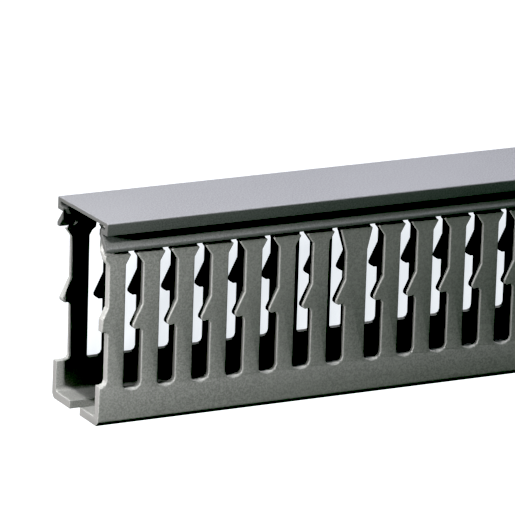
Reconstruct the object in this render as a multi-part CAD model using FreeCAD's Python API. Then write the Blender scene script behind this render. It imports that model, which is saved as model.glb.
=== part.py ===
import FreeCAD, Part
import math
import os

# Slotted wiring duct with its clip-on cover, in millimetres.
# X runs along the duct, Y from the front wall to the back wall and Z up.
# The origin lies on the floor, under the middle of the base.

# Overall sizes
LENGTH = 500.0          # stock length
WIDTH = 26.2            # over the cover
HEIGHT = 50.0           # floor to the top of the cover
SAW_LEAN = 0.7          # the saw that cut the left end leaned over by this much at the top

# Duct section
WALL = 2.1
BASE = 2.0
BASE_CHAMFER = 1.2      # bevel along both lower edges
INNER_FILLET = 0.8      # inside corner between base and wall
COVER_OVERHANG = 0.2    # the cover stands out past each wall by this much

# Cover: a flat, a flange, a fold that reaches inwards, and a leg that slopes out again to a rim
COVER_DROP = 7.25       # flat to the bottom of the rim
COVER_TOP = 1.0         # thickness of the flat
COVER_SHEET = 1.3       # thickness of flange, leg and rim
COVER_ROUND = 0.4       # outer radius along the top edges
FLANGE_DROP = 3.1       # height of the flange
FOLD = 1.0              # thickness of the fold
FOLD_REACH = 4.05       # from the outer face to the tip of the fold
RIM = 0.95              # height of the rim's outer face

# Heads of the fingers: a neck slopes inwards, clears the fold and ends in a hook over it
RIM_GAP = 0.75          # wall top to the rim of the cover
LEDGE = 0.85            # width of the wall top in front of the neck
NECK = 1.3              # thickness of the neck
HOOK = 1.6              # reach of the hook over the fold
RUN_GAP = 0.2           # running clearance between cover and heads

# Slots between the fingers
PITCH = 9.0
SLOT = 4.6              # clear width between two fingers
SLOT_FLOOR = 8.9        # height of the slot bottoms in the front wall
CORNER_LEFT = 0.5       # bevelled bottom corner on the left
CORNER_RIGHT = 1.1      # rounder bottom corner on the right, in two bevels
BARB_REACH = 2.4        # how far a barb stands out into the slot
BARB_TIP = 23.9         # height of the barb's blunt tip
BARB_NOSE = 0.6         # height of the tip's flat
BARB_SLOPE = 4.8        # height of the slanting edge over the tip
BARB_CHIN = 0.55        # bevel between the tip and the underside
BARB_HOLLOW = 0.6       # width of the bevelled corner under the barb
BARB_HOLLOW_RISE = 0.75  # and its height
THROAT = 0.3            # the throat is narrowest this far below the wall top
SHOULDER = 2.2          # height of the shoulder under the throat
SHOULDER_LEFT = 1.25    # how far the throat is narrowed on the left
SHOULDER_RIGHT = 1.6    # and on the right
FLARE = 3.0             # height over which the slot opens again above the throat

# Strokes of the punching tool
FIRST_FINGER = 2.1      # sawn end to the left edge of the first front finger
BACK_LAG = 1.7          # the back wall is punched this much further along
BACK_RISE = 0.6         # and this much higher
FIRST_RISE = 1.1        # the first front slot, which the saw cut open, ends this much higher
STROKE = 16             # slots per stroke
FRONT_JOIN = 8          # slots before the first seam of the front wall
BACK_JOIN = 6           # slots before the first seam of the back wall
FRONT_FEED = 1.3        # extra width of the front finger at a seam
BACK_FEED = 2.6         # extra width of the back finger at a seam
SEAM_DROP = 3.0         # shoulders start this much lower beside a seam

# Mounting slots in the base
MOUNT_PITCH = 50.0
MOUNT_SLOT = 15.0
MOUNT_WIDTH = 5.4
FIRST_MOUNT = 3.0       # sawn end to the centre of the first mounting slot

CUT_MARGIN = 1.0        # tools run this far past what they cut

left_end = -LENGTH / 2

plate_under = HEIGHT - COVER_TOP
fold_bottom = HEIGHT - FLANGE_DROP
fold_top = fold_bottom + FOLD
fold_outside = FOLD_REACH - COVER_SHEET
rim_bottom = HEIGHT - COVER_DROP
rim_top = rim_bottom + RIM
leg_slope = (fold_bottom - rim_top) / fold_outside
leg_drop = COVER_SHEET * math.hypot(1, leg_slope)

wall_top = rim_bottom - RIM_GAP
wall_width = WIDTH - 2 * COVER_OVERHANG
neck_outside = FOLD_REACH - COVER_OVERHANG + RUN_GAP
head_inside = neck_outside + NECK
neck_top = wall_top + neck_outside - LEDGE
neck_foot = wall_top - LEDGE - NECK * math.sqrt(2)
hook_bottom = fold_top + RUN_GAP
hook_top = plate_under - RUN_GAP
hook_outside = neck_outside - HOOK


def run(points):
    """Edges through points. A point that follows the word arc is the middle of an arc."""
    edges = []
    start = points[0]
    rest = iter(points[1:])
    for item in rest:
        if item == "arc":
            middle = next(rest)
            end = next(rest)
            edges.append(Part.Arc(start, middle, end).toShape())
        else:
            end = item
            edges.append(Part.LineSegment(start, end).toShape())
        start = end
    return edges


def closed(points):
    """Closed wire through points, with a straight last edge back to the first."""
    return Part.Wire(run(points + points[:1]))


def symmetrical(points):
    """Closed wire of a half section and its mirror image in the middle plane of the duct."""
    half = Part.Wire(run(points))
    other = half.mirror(FreeCAD.Vector(), FreeCAD.Vector(0, 1, 0))
    joins = []
    for point in (points[0], points[-1]):
        joins.append(Part.LineSegment(point, FreeCAD.Vector(point.x, -point.y, point.z)).toShape())
    return Part.Wire(Part.__sortEdges__(half.Edges + other.Edges + joins))


def corner(place, centre, radius, turn):
    """Middle point of a quarter circle that bulges away from its centre, at the given heading."""
    heading = math.radians(turn)
    return place(centre[0] + radius * math.cos(heading), centre[1] + radius * math.sin(heading))


def half_section(width):
    """Places points of the front half of a section this wide, by their depth behind its outer face."""

    def at(depth, height):
        return FreeCAD.Vector(0, depth - width / 2, height)

    return at


def duct_section():
    """U section of the duct, from the floor up the outer face, over the head and down inside."""
    at = half_section(wall_width)
    fillet_depth = WALL + INNER_FILLET
    fillet_height = BASE + INNER_FILLET
    lead = hook_top - hook_bottom
    return symmetrical([
        at(BASE_CHAMFER, 0),
        at(0, BASE_CHAMFER),
        at(0, wall_top),
        at(LEDGE, wall_top),
        at(neck_outside, neck_top),
        at(neck_outside, hook_bottom),
        at(hook_outside, hook_bottom),
        at(hook_outside + lead, hook_top),
        at(head_inside, hook_top),
        at(head_inside, neck_foot + head_inside),
        at(WALL, neck_foot + WALL),
        at(WALL, fillet_height),
        "arc",
        corner(at, (fillet_depth, fillet_height), INNER_FILLET, 225),
        at(fillet_depth, BASE),
    ])


def cover_section():
    """Folded section of the cover, from the flat down the outside to the rim and back up inside."""
    at = half_section(WIDTH)
    round_height = HEIGHT - COVER_ROUND
    return symmetrical([
        at(COVER_ROUND, HEIGHT),
        "arc",
        corner(at, (COVER_ROUND, round_height), COVER_ROUND, 135),
        at(0, round_height),
        at(0, fold_bottom),
        at(fold_outside, fold_bottom),
        at(0, rim_top),
        at(0, rim_bottom),
        at(COVER_SHEET, rim_bottom),
        at(COVER_SHEET, rim_top + COVER_SHEET * leg_slope - leg_drop),
        at(FOLD_REACH, rim_top + FOLD_REACH * leg_slope - leg_drop),
        at(FOLD_REACH, fold_top),
        at(COVER_SHEET, fold_top),
        at(COVER_SHEET, plate_under),
    ])


def extrude(wire, start, length):
    face = Part.Face(wire)
    face.translate(FreeCAD.Vector(start, 0, 0))
    return face.extrude(FreeCAD.Vector(length, 0, 0))


def slot_outline(left, rise, floor, drop_left, drop_right):
    """Open slot seen from the front, with the barb of the next finger on its right side."""

    def at(along, height):
        return FreeCAD.Vector(left + along, 0, height + rise)

    under = BARB_TIP - BARB_CHIN
    nose = SLOT - BARB_REACH
    nose_top = BARB_TIP + BARB_NOSE
    throat = wall_top - THROAT
    shoulder = throat - SHOULDER
    mouth = throat + FLARE
    top = HEIGHT + CUT_MARGIN
    bend = CORNER_RIGHT * (1 - math.sqrt(0.5))
    return closed([
        at(0, floor + CORNER_LEFT),
        at(CORNER_LEFT, floor),
        at(SLOT - CORNER_RIGHT, floor),
        at(SLOT - bend, floor + bend),
        at(SLOT, floor + CORNER_RIGHT),
        at(SLOT, under - BARB_HOLLOW_RISE),
        at(SLOT - BARB_HOLLOW, under),
        at(nose + BARB_CHIN, under),
        at(nose, BARB_TIP),
        at(nose, nose_top),
        at(SLOT, nose_top + BARB_SLOPE),
        at(SLOT, shoulder - drop_right),
        at(SLOT - SHOULDER_RIGHT, throat),
        at(SLOT, mouth),
        at(SLOT, top),
        at(0, top),
        at(0, mouth),
        at(SHOULDER_LEFT, throat),
        at(0, shoulder - drop_left),
    ])


def slots(side, first_finger, join, feed, rise, first_rise):
    """Punching tools for one wall, stroke by stroke, until the stock runs out."""
    depth = head_inside + COVER_OVERHANG + CUT_MARGIN
    tools = []
    count = 0
    left = left_end + first_finger - SLOT
    while left < LENGTH / 2:
        before_seam = (count + 1) % STROKE == join % STROKE
        after_seam = count % STROKE == join % STROKE
        drop_right = SEAM_DROP if before_seam else 0
        drop_left = SEAM_DROP if after_seam else 0
        floor = SLOT_FLOOR + (0 if count else first_rise)
        face = Part.Face(slot_outline(left, rise, floor, drop_left, drop_right))
        face.translate(FreeCAD.Vector(0, side * (WIDTH / 2 + CUT_MARGIN), 0))
        tools.append(face.extrude(FreeCAD.Vector(0, -side * (depth + CUT_MARGIN), 0)))
        left += PITCH + (feed if before_seam else 0)
        count += 1
    return tools


def mounting_slots():
    """Long round-ended holes along the middle of the base."""
    radius = MOUNT_WIDTH / 2
    straight = MOUNT_SLOT / 2 - radius
    tools = []
    centre = left_end + FIRST_MOUNT
    while centre - MOUNT_SLOT / 2 < LENGTH / 2:
        def at(along, y):
            return FreeCAD.Vector(centre + along, y, -CUT_MARGIN)
        wire = closed([
            at(-straight, -radius),
            at(straight, -radius),
            "arc",
            at(straight + radius, 0),
            at(straight, radius),
            at(-straight, radius),
            "arc",
            at(-straight - radius, 0),
        ])
        tools.append(Part.Face(wire).extrude(FreeCAD.Vector(0, 0, BASE + 2 * CUT_MARGIN)))
        centre += MOUNT_PITCH
    return tools


def sawn(shape):
    """Shape cut off at the left by the leaning saw."""
    foot = FreeCAD.Vector(left_end, -WIDTH, 0)
    past = FreeCAD.Vector(left_end - CUT_MARGIN, -WIDTH, 0)
    above = FreeCAD.Vector(left_end - CUT_MARGIN, -WIDTH, HEIGHT)
    crest = FreeCAD.Vector(left_end + SAW_LEAN, -WIDTH, HEIGHT)
    waste = Part.Face(closed([foot, past, above, crest]))
    return shape.cut(waste.extrude(FreeCAD.Vector(0, 2 * WIDTH, 0)))


def duct_body():
    stock = extrude(duct_section(), left_end, LENGTH)
    front = slots(-1, FIRST_FINGER, FRONT_JOIN, FRONT_FEED, 0, FIRST_RISE)
    back = slots(1, FIRST_FINGER + BACK_LAG, BACK_JOIN, BACK_FEED, BACK_RISE, 0)
    punched = sawn(stock).cut(front + back + mounting_slots())
    # A head whose finger was sawn away has nothing to hold it and drops off.
    return max(punched.Solids, key=lambda solid: solid.Volume)


def cover():
    return sawn(extrude(cover_section(), left_end, LENGTH)).Solids[0]


def main():
    os.makedirs("parts", exist_ok=True)
    for name, solid in (("duct_body", duct_body()), ("cover", cover())):
        print(name, solid.isValid(), round(solid.Volume), len(solid.Faces))
        solid.exportStep(f"parts/{name}.step")


if __name__ == "__main__":
    main()
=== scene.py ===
import bpy
import math
from mathutils import Matrix, Vector

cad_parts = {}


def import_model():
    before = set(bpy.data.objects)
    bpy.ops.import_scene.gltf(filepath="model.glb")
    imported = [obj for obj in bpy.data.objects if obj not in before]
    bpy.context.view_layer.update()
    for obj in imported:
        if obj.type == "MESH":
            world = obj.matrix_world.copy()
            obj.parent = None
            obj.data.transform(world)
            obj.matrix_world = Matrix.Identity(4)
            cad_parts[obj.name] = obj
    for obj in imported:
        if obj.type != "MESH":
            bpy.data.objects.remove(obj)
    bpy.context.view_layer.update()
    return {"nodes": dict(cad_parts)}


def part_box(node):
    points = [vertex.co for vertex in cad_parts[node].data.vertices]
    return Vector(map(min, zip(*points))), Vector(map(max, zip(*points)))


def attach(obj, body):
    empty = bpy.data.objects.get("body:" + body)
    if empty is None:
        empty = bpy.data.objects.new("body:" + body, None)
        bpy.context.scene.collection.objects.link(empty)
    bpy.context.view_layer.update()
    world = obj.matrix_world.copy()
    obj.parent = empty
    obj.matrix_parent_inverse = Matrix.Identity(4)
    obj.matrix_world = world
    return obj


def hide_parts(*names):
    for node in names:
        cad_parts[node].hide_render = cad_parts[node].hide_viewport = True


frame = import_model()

# Sizes and places are in metres, in the frame of the part
MM = 0.001
LOW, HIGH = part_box("duct_body")
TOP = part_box("cover")[1].z
LEFT_END, RIGHT_END = LOW.x, HIGH.x
FRONT, BACK = LOW.y, HIGH.y

# Camera
IMAGE = 515                     # pixels along each side of the image
FOCAL = 5775.7                  # in pixels
AZIMUTH, ELEVATION, ROLL = 27.44, 16.35, 1.79   # in degrees
DISTANCE = 1364 * MM            # to the lower front corner of the sawn end
CORNER_PIXEL = (97.68, 427.81)  # where that corner shows
SENSOR = 36.0
CLIP = (0.1, 20.0)
BLACK = (0.036, 0.035, 0.036)   # light below this prints as black

# Tolerances
SAME_POINT = 0.001 * MM         # points of a solid's mesh that are nearer are merged
SAME_POINT_AT_SAW = 0.02 * MM   # and once more after the saw cut
FLAT = math.radians(0.5)        # faces that meet flatter become one
NEAR = 0.01 * MM                # slack in telling where a point or an edge lies

# The saw cut leans over and is a little out of square
CUT_TOP_FRONT = 1.25 * MM
CUT_TOP_BACK = 0.7 * MM

# Slots
SLOT_WIDTH = 4.6 * MM
SLOT_PITCH = 9 * MM
SLOT_BOTTOMS = (8 * MM, 11 * MM)
WALL_FROM = 6.0 * MM            # across, from the middle of the duct

# Seams of the back wall, where one stroke of the punch follows another
SEAM_SLOT = -194.2 * MM         # left edge of the slot that moves
SEAM_FEED = 2.6 * MM            # extra width of the finger at a seam
STROKE_LENGTH = 146.6 * MM

# The punch drags a round scoop into the outer face of the front wall, under each slot
SCOOP_RADIUS = 2.5 * MM
SCOOP_SIDES = 24
SCOOP_RISE = 1.85 * MM          # its centre over the slot's bottom
SCOOP_LEFT = 1.2 * MM           # and left of the flat bottom's right end
SCOOP_DEPTH = 0.9 * MM
SCOOP_TAPER = 0.8 * MM          # radius lost over that depth
SCOOP_OUT = 0.3 * MM            # the cutter starts this far outside the face

# Rounding of the edges: the punch rolls the outer edges over and leaves the others sharper
ROLLED_EDGE = 0.25 * MM
PLAIN_EDGE = 0.09 * MM
COVER_EDGE = 0.15 * MM
HEAD_EDGE_LEAST = 1 * MM        # a level edge over the slots that is longer is a head's
BARE_END = 1.2 * MM             # edges this near the right end stay sharp
SHARP = math.radians(24)        # faces that meet at more are rounded where they meet
SMOOTH = math.radians(20)       # and at less are shaded as one

# Patterns of the plastic: how they are stretched along X, Y and Z, how fine they are in a
# millimetre, and the part of their range that the colours use
EVEN = (1, 1, 1)
ALONG = (0.01, 1, 1)
THROUGH = (2.2, 0.25, 2.2)
SPECKLE_FINE, CLOUD_FINE, DRAWN_FINE, TORN_FINE = 2.6, 0.035, 2.6, 1.6
SPECKLE_RANGE, SLOW_RANGE = (0.36, 0.64), (0.35, 0.65)

# Tones of the plastic, as shares of its plain tone, and how far it turns to them
SPECKLE_DARK, SPECKLE_PALE = 0.78, 1.22
# the cut tone paints the faces that look along X darker, as shade
# the darkest of these tones is painted shadow deep in the slots' sides
# the edge tone is a painted highlight on the rounded edges
DRAWN_TONE, CLOUD_TONE, CUT_SHADE_TONE, SLOT_SHADOW_TONE, EDGE_HIGHLIGHT_TONE = 0.86, 1.12, 0.7, 0.12, 1.15
DRAWN_SHARE, CLOUD_SHARE, SLOT_SHADOW_SHARE, EDGE_HIGHLIGHT_SHARE = 0.25, 0.3, 0.75, 0.4
CUT_SHADE_TINT = (1.03, 0.99, 1.0)
CUT_FACING = (0.85, 0.99)       # how squarely a sawn face looks along X
WALL_FACING = (0.2, 0.6)        # and the plain face of a wall along Y
RELIEF_HEIGHT = 0.05 * MM

# Painted shadow on the inner part of the slots' sides, in millimetres
SHADOW_DEPTH = (0.3, 0.6)         # depth under the outer face at which the painted shadow starts
SHADOW_FROM = (7.5, 8.0)         # height
SHADOW_TO = (45.0, 46.0)
SHADOW_ENDS = (6.0, 5.0)         # distance from the sawn ends, near which the slots' sides get no painted shadow and are all pale

# Lamps
WHITE, WARM, COOL = (1.0, 1.0, 1.0), (1.0, 1.0, 0.98), (0.90, 0.89, 1.0)
END_MIDDLE = 30 * MM            # height at which the end lamps aim
RIGHT_SHARE = 0.8               # power of the lamps at the right end, against the left
NEAR_PLACE = 100 * MM           # the near overhead lamp is this far in from the left end
NEAR_HEIGHT = 280 * MM          # over the cover
BROAD_PLACE = 90 * MM           # along X
BROAD_OUT, BROAD_HEIGHT = 0.5, 0.25
BROAD_SPREAD = math.radians(40)
AMBIENT, AMBIENT_COLOR = 0.07, (0.60, 1.0, 0.66, 1.0)

# Cards that keep the key light out of the open ends: place inwards from the end, and width
FLAGS = ((-0.1 * MM, 19.5 * MM), (2.2 * MM, 21.5 * MM))
FLAG_HEIGHT = 44.5 * MM
FLAG_MIDDLE = 26.75 * MM

# Floor
FLOOR_SIZE = 12.0
FLOOR_PAINT = (0.30, 0.30, 0.30, 1.0)
FLOOR_GLOW = (0.79, 0.82, 0.865, 1.0)


def only(piece):
    """Selects one piece and nothing else."""
    bpy.ops.object.select_all(action="DESELECT")
    piece.select_set(True)
    bpy.context.view_layer.objects.active = piece


def start_edit(piece, kind, action):
    """Opens a piece for work on its points or edges, with all or none of them selected."""
    only(piece)
    bpy.ops.object.mode_set(mode="EDIT")
    bpy.ops.mesh.select_mode(type=kind)
    bpy.ops.mesh.select_all(action=action)


def apply_all(piece):
    only(piece)
    for modifier in list(piece.modifiers):
        bpy.ops.object.modifier_apply(modifier=modifier.name)


class Signal:
    """A socket's output, so that sums of shader values read as plain sums."""

    def __init__(self, finish, socket):
        self.finish = finish
        self.socket = socket

    def maths(self, operation, first, second=0.0):
        return self.finish.node("ShaderNodeMath", {"operation": operation}, {0: first, 1: second})

    def __add__(self, other):
        return self.maths("ADD", self, other)

    __radd__ = __add__

    def __mul__(self, other):
        return self.maths("MULTIPLY", self, other)

    __rmul__ = __mul__

    def __rsub__(self, other):
        return self.maths("SUBTRACT", other, self)

    def __abs__(self):
        return self.maths("ABSOLUTE", self)

    def over(self, low, high):
        """0 below low, 1 above high and a straight ramp between them."""
        return self.finish.node("ShaderNodeMapRange", {"clamp": True},
                                {"Value": self, "From Min": low, "From Max": high})


class Finish:
    """A material under construction."""

    def __init__(self, name):
        self.material = bpy.data.materials.new(name)
        self.material.use_nodes = True
        self.tree = self.material.node_tree
        self.tree.nodes.clear()

    def node(self, kind, settings=None, inputs=None, output=0):
        """Any node, from its type, its settings, and the values or links of its sockets."""
        made = self.tree.nodes.new(kind)
        for name, value in (settings or {}).items():
            setattr(made, name, value)
        for name, value in (inputs or {}).items():
            self.feed(made.inputs[name], value)
        return Signal(self, made.outputs[output])

    def feed(self, socket, value):
        if isinstance(value, Signal):
            self.tree.links.new(value.socket, socket)
        else:
            socket.default_value = value

    def place(self, stretch=EVEN):
        """The piece's own coordinates in millimetres, stretched along each axis."""
        here = self.node("ShaderNodeTexCoord", output="Object")
        scale = tuple(value / MM for value in stretch)
        return self.node("ShaderNodeMapping", {"vector_type": "POINT"},
                         {"Vector": here, "Scale": scale})

    def split(self, vector):
        """The X, Y and Z of a vector."""
        parts = self.node("ShaderNodeSeparateXYZ", None, {"Vector": vector})
        outputs = parts.socket.node.outputs
        return [Signal(self, outputs[axis]) for axis in "XYZ"]

    def noise(self, stretch, scale, detail=2.0, roughness=0.5):
        return self.node("ShaderNodeTexNoise", None, {
            "Vector": self.place(stretch), "Scale": scale,
            "Detail": detail, "Roughness": roughness})

    def mix(self, amount, first, second):
        """One colour turned into another by an amount from 0 to 1."""
        made = self.tree.nodes.new("ShaderNodeMix")
        made.data_type = "RGBA"
        sockets = {"Factor_Float": amount, "A_Color": first, "B_Color": second}
        for socket in made.inputs:
            if socket.identifier in sockets:
                self.feed(socket, sockets[socket.identifier])
        color = [socket for socket in made.outputs if socket.identifier == "Result_Color"]
        return Signal(self, color[0])

    def surface(self, shader):
        made = self.tree.nodes.new("ShaderNodeOutputMaterial")
        self.tree.links.new(shader.socket, made.inputs["Surface"])
        return self.material


def grey(tone, tint):
    return tuple(tone * share for share in tint) + (1.0,)


def painted_slot_shadow(finish, facing_y):
    """Painted shadow on the inner part of the slots' sides and bottoms, where the neighbouring
    fingers shade them.
    """
    along, across, up = finish.split(finish.place())
    ends_from, ends_to = (RIGHT_END / MM - inwards for inwards in SHADOW_ENDS)
    depth = BACK / MM - abs(across)
    beside = 1.0 - abs(facing_y).over(*WALL_FACING)
    in_slot = beside * up.over(*SHADOW_FROM) * (1.0 - up.over(*SHADOW_TO))
    return in_slot * depth.over(*SHADOW_DEPTH) * (1.0 - abs(along).over(ends_from, ends_to))


def pvc(name, tone, tint):
    """Matt extruded PVC: speckled, drawn along X, rougher where sawn with painted shade on the
    faces that look along X, painted shadow deep in the slots, and a painted highlight on the
    rolled edges.
    """
    finish = Finish(name)
    speckle = finish.noise(EVEN, SPECKLE_FINE, roughness=0.6)
    cloud = finish.noise(EVEN, CLOUD_FINE)
    drawn = finish.noise(ALONG, DRAWN_FINE, detail=3.0)
    torn = finish.noise(THROUGH, TORN_FINE, detail=3.0)
    facing_x, facing_y, _ = finish.split(finish.node("ShaderNodeTexCoord", output="Normal"))
    cut = abs(facing_x).over(*CUT_FACING)
    slot_shadow = painted_slot_shadow(finish, facing_y)
    edge = finish.node("ShaderNodeAttribute", {"attribute_name": "rounded"}, output="Fac")

    dark, pale = grey(tone * SPECKLE_DARK, tint), grey(tone * SPECKLE_PALE, tint)
    color = finish.mix(speckle.over(*SPECKLE_RANGE), dark, pale)
    drawn_amount = drawn.over(*SLOW_RANGE) * DRAWN_SHARE
    color = finish.mix(drawn_amount, color, grey(tone * DRAWN_TONE, tint))
    cloud_amount = cloud.over(*SLOW_RANGE) * CLOUD_SHARE
    color = finish.mix(cloud_amount, color, grey(tone * CLOUD_TONE, tint))
    # faces that look along X, the sawn ends and slots' sides, are painted darker as shade; their
    # torn texture is real
    color = finish.mix(cut * (0.7 + torn * 0.3), color, grey(tone * CUT_SHADE_TONE, CUT_SHADE_TINT))
    # painted shadow deep in the slots' sides
    color = finish.mix(slot_shadow * SLOT_SHADOW_SHARE, color, grey(tone * SLOT_SHADOW_TONE, tint))
    # painted highlight: the rounded edges are painted paler
    color = finish.mix(edge * EDGE_HIGHLIGHT_SHARE, color, grey(tone * EDGE_HIGHLIGHT_TONE, tint))

    relief = speckle * 0.55 + drawn * 0.2 + cut * torn * 0.9
    bump = finish.node("ShaderNodeBump", None, {
        "Strength": 0.35, "Distance": RELIEF_HEIGHT, "Height": relief})
    roughness = 0.5 + speckle * 0.16 + cut * 0.1
    shader = finish.node("ShaderNodeBsdfPrincipled", None, {
        "Base Color": color, "Roughness": roughness, "Normal": bump,
        "IOR": 1.5, "Specular IOR Level": 0.35})
    return finish.surface(shader)


def saw_through(piece):
    """Trims the left end to the plane of the saw."""
    foot = Vector((LEFT_END, FRONT, 0))
    front = Vector((LEFT_END + CUT_TOP_FRONT, FRONT, TOP))
    back = Vector((LEFT_END + CUT_TOP_BACK, BACK, TOP))
    normal = (front - foot).cross(back - foot).normalized()
    if normal.x > 0:
        normal.negate()
    bpy.ops.mesh.select_all(action="SELECT")
    bpy.ops.mesh.bisect(plane_co=foot, plane_no=normal, use_fill=True, clear_outer=True)


def join_faces(same_point):
    """Merges the points that lie together, and makes whole faces of flat ones."""
    bpy.ops.mesh.select_all(action="SELECT")
    bpy.ops.mesh.remove_doubles(threshold=same_point)
    bpy.ops.mesh.dissolve_limited(angle_limit=FLAT)


def clean_copy(node, name):
    """A copy of a CAD node with whole faces, trimmed by the saw."""
    piece = bpy.data.objects.new(name, frame["nodes"][node].data.copy())
    bpy.context.scene.collection.objects.link(piece)
    only(piece)
    bpy.ops.mesh.customdata_custom_splitnormals_clear()
    bpy.ops.object.mode_set(mode="EDIT")
    join_faces(SAME_POINT)
    saw_through(piece)
    join_faces(SAME_POINT_AT_SAW)
    bpy.ops.object.mode_set(mode="OBJECT")
    return piece


def edge_ends(piece):
    points = piece.data.vertices
    return [[points[index].co for index in edge.vertices] for edge in piece.data.edges]


def shift_seams(piece):
    """Moves a slot left at each seam of the back wall, so that the wide finger is right of it."""
    start_edit(piece, "VERT", "DESELECT")
    bpy.ops.object.mode_set(mode="OBJECT")
    for point in piece.data.vertices:
        past_seam = (point.co.x - SEAM_SLOT + NEAR) % STROKE_LENGTH
        in_wall = point.co.y > WALL_FROM and point.co.z > SLOT_BOTTOMS[0]
        inside = abs(point.co.x) < RIGHT_END - SLOT_PITCH
        point.select = in_wall and inside and past_seam < SLOT_WIDTH + 2 * NEAR
    bpy.ops.object.mode_set(mode="EDIT")
    bpy.ops.transform.translate(value=(-SEAM_FEED, 0, 0))
    bpy.ops.object.mode_set(mode="OBJECT")


def scoop(piece):
    """Cuts the shallow round scoops into the outer face of the front wall, under the slots."""
    cutters = []
    for start, end in edge_ends(piece):
        outside = abs(start.y - FRONT) < NEAR and abs(end.y - FRONT) < NEAR
        level = abs(start.z - end.z) < NEAR and SLOT_BOTTOMS[0] < start.z < SLOT_BOTTOMS[1]
        if outside and level:
            cutters.append(scoop_cutter(max(start.x, end.x), start.z))
    bpy.ops.object.select_all(action="DESELECT")
    for cutter in cutters:
        cutter.select_set(True)
    bpy.context.view_layer.objects.active = cutters[0]
    bpy.ops.object.join()
    joined = bpy.context.object
    cut = piece.modifiers.new("scoops", "BOOLEAN")
    cut.operation = "DIFFERENCE"
    cut.solver = "EXACT"
    cut.object = joined
    apply_all(piece)
    bpy.data.objects.remove(joined)


def scoop_cutter(right, bottom):
    """Cone that narrows inwards from the outer face."""
    slope = SCOOP_TAPER / SCOOP_DEPTH
    middle = FRONT + (SCOOP_DEPTH - SCOOP_OUT) / 2
    bpy.ops.mesh.primitive_cone_add(
        vertices=SCOOP_SIDES, depth=SCOOP_DEPTH + SCOOP_OUT,
        radius1=SCOOP_RADIUS + slope * SCOOP_OUT, radius2=SCOOP_RADIUS - SCOOP_TAPER,
        location=(right - SCOOP_LEFT, middle, bottom + SCOOP_RISE),
        rotation=(math.radians(-90), 0, 0))
    return bpy.context.object


def roll_edges(piece, width_of):
    """Rounds the sharp edges, each by the width that width_of gives for its ends."""
    start_edit(piece, "EDGE", "DESELECT")
    bpy.ops.mesh.edges_select_sharp(sharpness=SHARP)
    bpy.ops.object.mode_set(mode="OBJECT")
    edges = piece.data.edges
    weights = [0.0] * len(edges)
    for edge, (start, end) in zip(edges, edge_ends(piece)):
        if edge.select:
            weights[edge.index] = width_of(start, end) / ROLLED_EDGE
    rolling = piece.data.attributes.new("bevel_weight_edge", "FLOAT", "EDGE")
    rolling.data.foreach_set("value", weights)

    rim = piece.modifiers.new("rolled edges", "BEVEL")
    rim.width = ROLLED_EDGE
    rim.segments = 2
    rim.limit_method = "WEIGHT"
    rim.use_clamp_overlap = False
    rim.material = 1            # marks the new faces until their attribute is set
    apply_all(piece)

    mesh = piece.data
    rolled = mesh.attributes.new("rounded", "FLOAT", "FACE")
    rolled.data.foreach_set("value", [float(face.material_index == 1) for face in mesh.polygons])
    mesh.polygons.foreach_set("material_index", [0] * len(mesh.polygons))
    mesh.materials.clear()
    only(piece)
    bpy.ops.object.shade_smooth_by_angle(angle=SMOOTH)


def duct_edge(start, end):
    """Width of a rounding: wide on the outer faces, none on the heads' tops, slight elsewhere."""
    if min(start.x, end.x) > RIGHT_END - BARE_END:
        return 0.0
    if min(abs(start.y), abs(end.y)) < BACK - NEAR:
        return PLAIN_EDGE
    level = abs(start.z - end.z) < NEAR
    if level and start.z > SLOT_BOTTOMS[1] and abs(start.x - end.x) > HEAD_EDGE_LEAST:
        return 0.0
    return ROLLED_EDGE


def duct():
    piece = clean_copy("duct_body", "punched_duct")
    shift_seams(piece)
    scoop(piece)
    roll_edges(piece, duct_edge)
    piece.data.materials.append(pvc("grey duct PVC", 0.30, (1.0, 1.0, 0.985)))
    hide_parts("duct_body")
    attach(piece, "duct")
    return piece


def cover():
    piece = clean_copy("cover", "clip_cover")
    roll_edges(piece, lambda start, end: COVER_EDGE)
    piece.data.materials.append(pvc("grey cover PVC", 0.31, (0.99, 0.985, 1.0)))
    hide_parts("cover")
    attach(piece, "cover")
    return piece


def camera():
    """Camera that shows the sawn corner at its pixel."""
    azimuth, elevation, roll = (math.radians(turn) for turn in (AZIMUTH, ELEVATION, ROLL))
    back = Vector((-math.sin(azimuth) * math.cos(elevation),
                   -math.cos(azimuth) * math.cos(elevation),
                   math.sin(elevation)))
    level = Vector((math.cos(azimuth), -math.sin(azimuth), 0))
    upright = back.cross(level)
    right = math.cos(roll) * level + math.sin(roll) * upright
    up = back.cross(right)
    corner = Vector((LEFT_END, FRONT, 0))
    across = (CORNER_PIXEL[0] - IMAGE / 2) / FOCAL * DISTANCE
    below = (CORNER_PIXEL[1] - IMAGE / 2) / FOCAL * DISTANCE
    eye = corner - across * right + below * up + DISTANCE * back

    lens = bpy.data.cameras.new("camera")
    lens.sensor_width = SENSOR
    lens.lens = FOCAL * SENSOR / IMAGE
    lens.clip_start, lens.clip_end = CLIP
    body = bpy.data.objects.new("camera", lens)
    turn = Matrix((right, up, back)).transposed()
    body.matrix_world = Matrix.Translation(eye) @ turn.to_4x4()
    bpy.context.scene.collection.objects.link(body)
    bpy.context.scene.camera = body


def group(name, *members):
    """Pieces that a lamp lights, or that cast its shadows."""
    made = bpy.data.collections.new(name)
    for member in members:
        made.objects.link(member)
    return made


def soft_light(name, place, target, size, power, color, lit, casting):
    """A round lamp that lights one group and is shaded by another."""
    lamp = bpy.data.lights.new(name, "AREA")
    lamp.shape = "DISK"
    lamp.size = size
    lamp.energy = power
    lamp.color = color
    holder = bpy.data.objects.new(name, lamp)
    holder.location = place
    holder.rotation_euler = (target - place).to_track_quat("-Z", "Y").to_euler()
    bpy.context.scene.collection.objects.link(holder)
    holder.light_linking.receiver_collection = lit
    holder.light_linking.blocker_collection = casting
    return lamp


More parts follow.
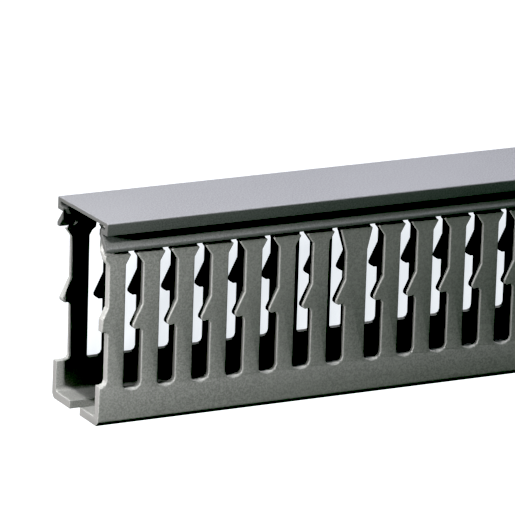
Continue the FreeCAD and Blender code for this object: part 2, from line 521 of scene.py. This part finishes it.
def aim(distance, turn, height):
    """Offset of a lamp left of the part, turned towards the front and raised, in degrees."""
    turn, height = math.radians(turn), math.radians(height)
    level = math.cos(height)
    return distance * Vector((-level * math.cos(turn), -level * math.sin(turn), math.sin(height)))


def flag(name, x, width):
    """Black card across the open end. It keeps the key light out of the duct and never shows."""
    bpy.ops.object.select_all(action="DESELECT")
    bpy.ops.mesh.primitive_plane_add(
        size=1, location=(x, 0, FLAG_MIDDLE), rotation=(0, math.radians(90), 0))
    card = bpy.context.object
    card.name = name
    card.scale = (FLAG_HEIGHT, width, 1)
    bpy.ops.object.transform_apply(location=True, rotation=True, scale=True)
    card.visible_camera = False
    card.visible_diffuse = False
    card.visible_glossy = False
    return card


def lights(body, lid, ground):
    parts = group("parts", body, lid)
    flags = [flag("flag", side * (LEFT_END + inside), width)
             for side in (1, -1) for inside, width in FLAGS]
    flagged = group("parts and flags", body, lid, *flags)
    body_only = group("body", body)
    lid_only = group("lid", lid)
    ground_only = group("ground", ground)

    # Lamps at each end: offset from it, size, power, colour, what they light and what shades them
    end_lamps = {
        "key": (aim(0.17, 22, 18), 0.03, 0.6, WARM, body_only, flagged),
        "key for the cover": (aim(0.16, 45, 55), 0.03, 0.10, WARM, lid_only, flagged),
        "end of the cover": (aim(0.19, 8, 20), 0.03, 0.22, WHITE, lid_only, flagged),
        "steep": (Vector((-0.07, -0.055, 0.27)), 0.04, 0.7, WARM, body_only, flagged),
        "back of the end": (aim(0.30, -16, 35), 0.05, 0.15, WHITE, parts, flagged),
        "into the end": (aim(0.30, -7, 60), 0.03, 0.45, WHITE, body_only, parts),
    }
    for side, share in ((1, 1.0), (-1, RIGHT_SHARE)):
        end = Vector((side * LEFT_END, 0, END_MIDDLE))
        for name, (offset, size, power, color, lit, casting) in end_lamps.items():
            place = end + offset * Vector((side, 1, 1))
            soft_light(name, place, end, size, power * share, color, lit, casting)

    # Lamps over and beside the whole part
    centre = Vector((0, 0, 0))
    near = Vector((LEFT_END + NEAR_PLACE, 0, TOP))
    over_near = near + Vector((0, 0, NEAR_HEIGHT))
    soft_light("near overhead", over_near, near, 0.15, 0.98, COOL, parts, parts)
    soft_light("overhead", Vector((0, 0.1, 1.5)), centre, 0.4, 6.0, COOL, parts, parts)
    soft_light("behind", Vector((1.0, 1.3, 1.0)), centre, 0.4, 12.0, WHITE, body_only, parts)
    for side in (-1, 1):
        place = Vector((BROAD_PLACE, side * BROAD_OUT, BROAD_HEIGHT))
        target = Vector((BROAD_PLACE, 0, 0))
        soft_light("broad", place, target, 0.1, 0.07, WHITE, parts, parts).spread = BROAD_SPREAD
    soft_light("floor light", near + aim(1.6, 55, 19), near, 0.3, 120.0, WHITE, ground_only, parts)


def world():
    """Faint greenish light from all around."""
    made = bpy.data.worlds.new("studio")
    made.use_nodes = True
    background = made.node_tree.nodes["Background"]
    background.inputs["Color"].default_value = AMBIENT_COLOR
    background.inputs["Strength"].default_value = AMBIENT
    bpy.context.scene.world = made


def floor():
    """Pale floor that glows enough to stay pale in the part's shadow, and lights nothing."""
    bpy.ops.object.select_all(action="DESELECT")
    bpy.ops.mesh.primitive_plane_add(size=FLOOR_SIZE, location=(0, 0, LOW.z))
    plane = bpy.context.object
    plane.name = "floor"
    finish = Finish("pale floor")
    matt = finish.node("ShaderNodeBsdfDiffuse", None, {"Color": FLOOR_PAINT})
    glow = finish.node("ShaderNodeEmission", None, {"Color": FLOOR_GLOW, "Strength": 1.0})
    both = finish.node("ShaderNodeAddShader", None, {0: matt, 1: glow})
    plane.data.materials.append(finish.surface(both))
    plane.visible_diffuse = False
    plane.visible_glossy = False
    return plane


def develop():
    """Prints the light as it is, apart from the deepest shadows, which go black."""
    view = bpy.context.scene.view_settings
    view.view_transform = "Standard"
    view.use_curve_mapping = True
    view.curve_mapping.black_level = BLACK
    view.curve_mapping.update()


camera()
lights(duct(), cover(), floor())
world()
develop()
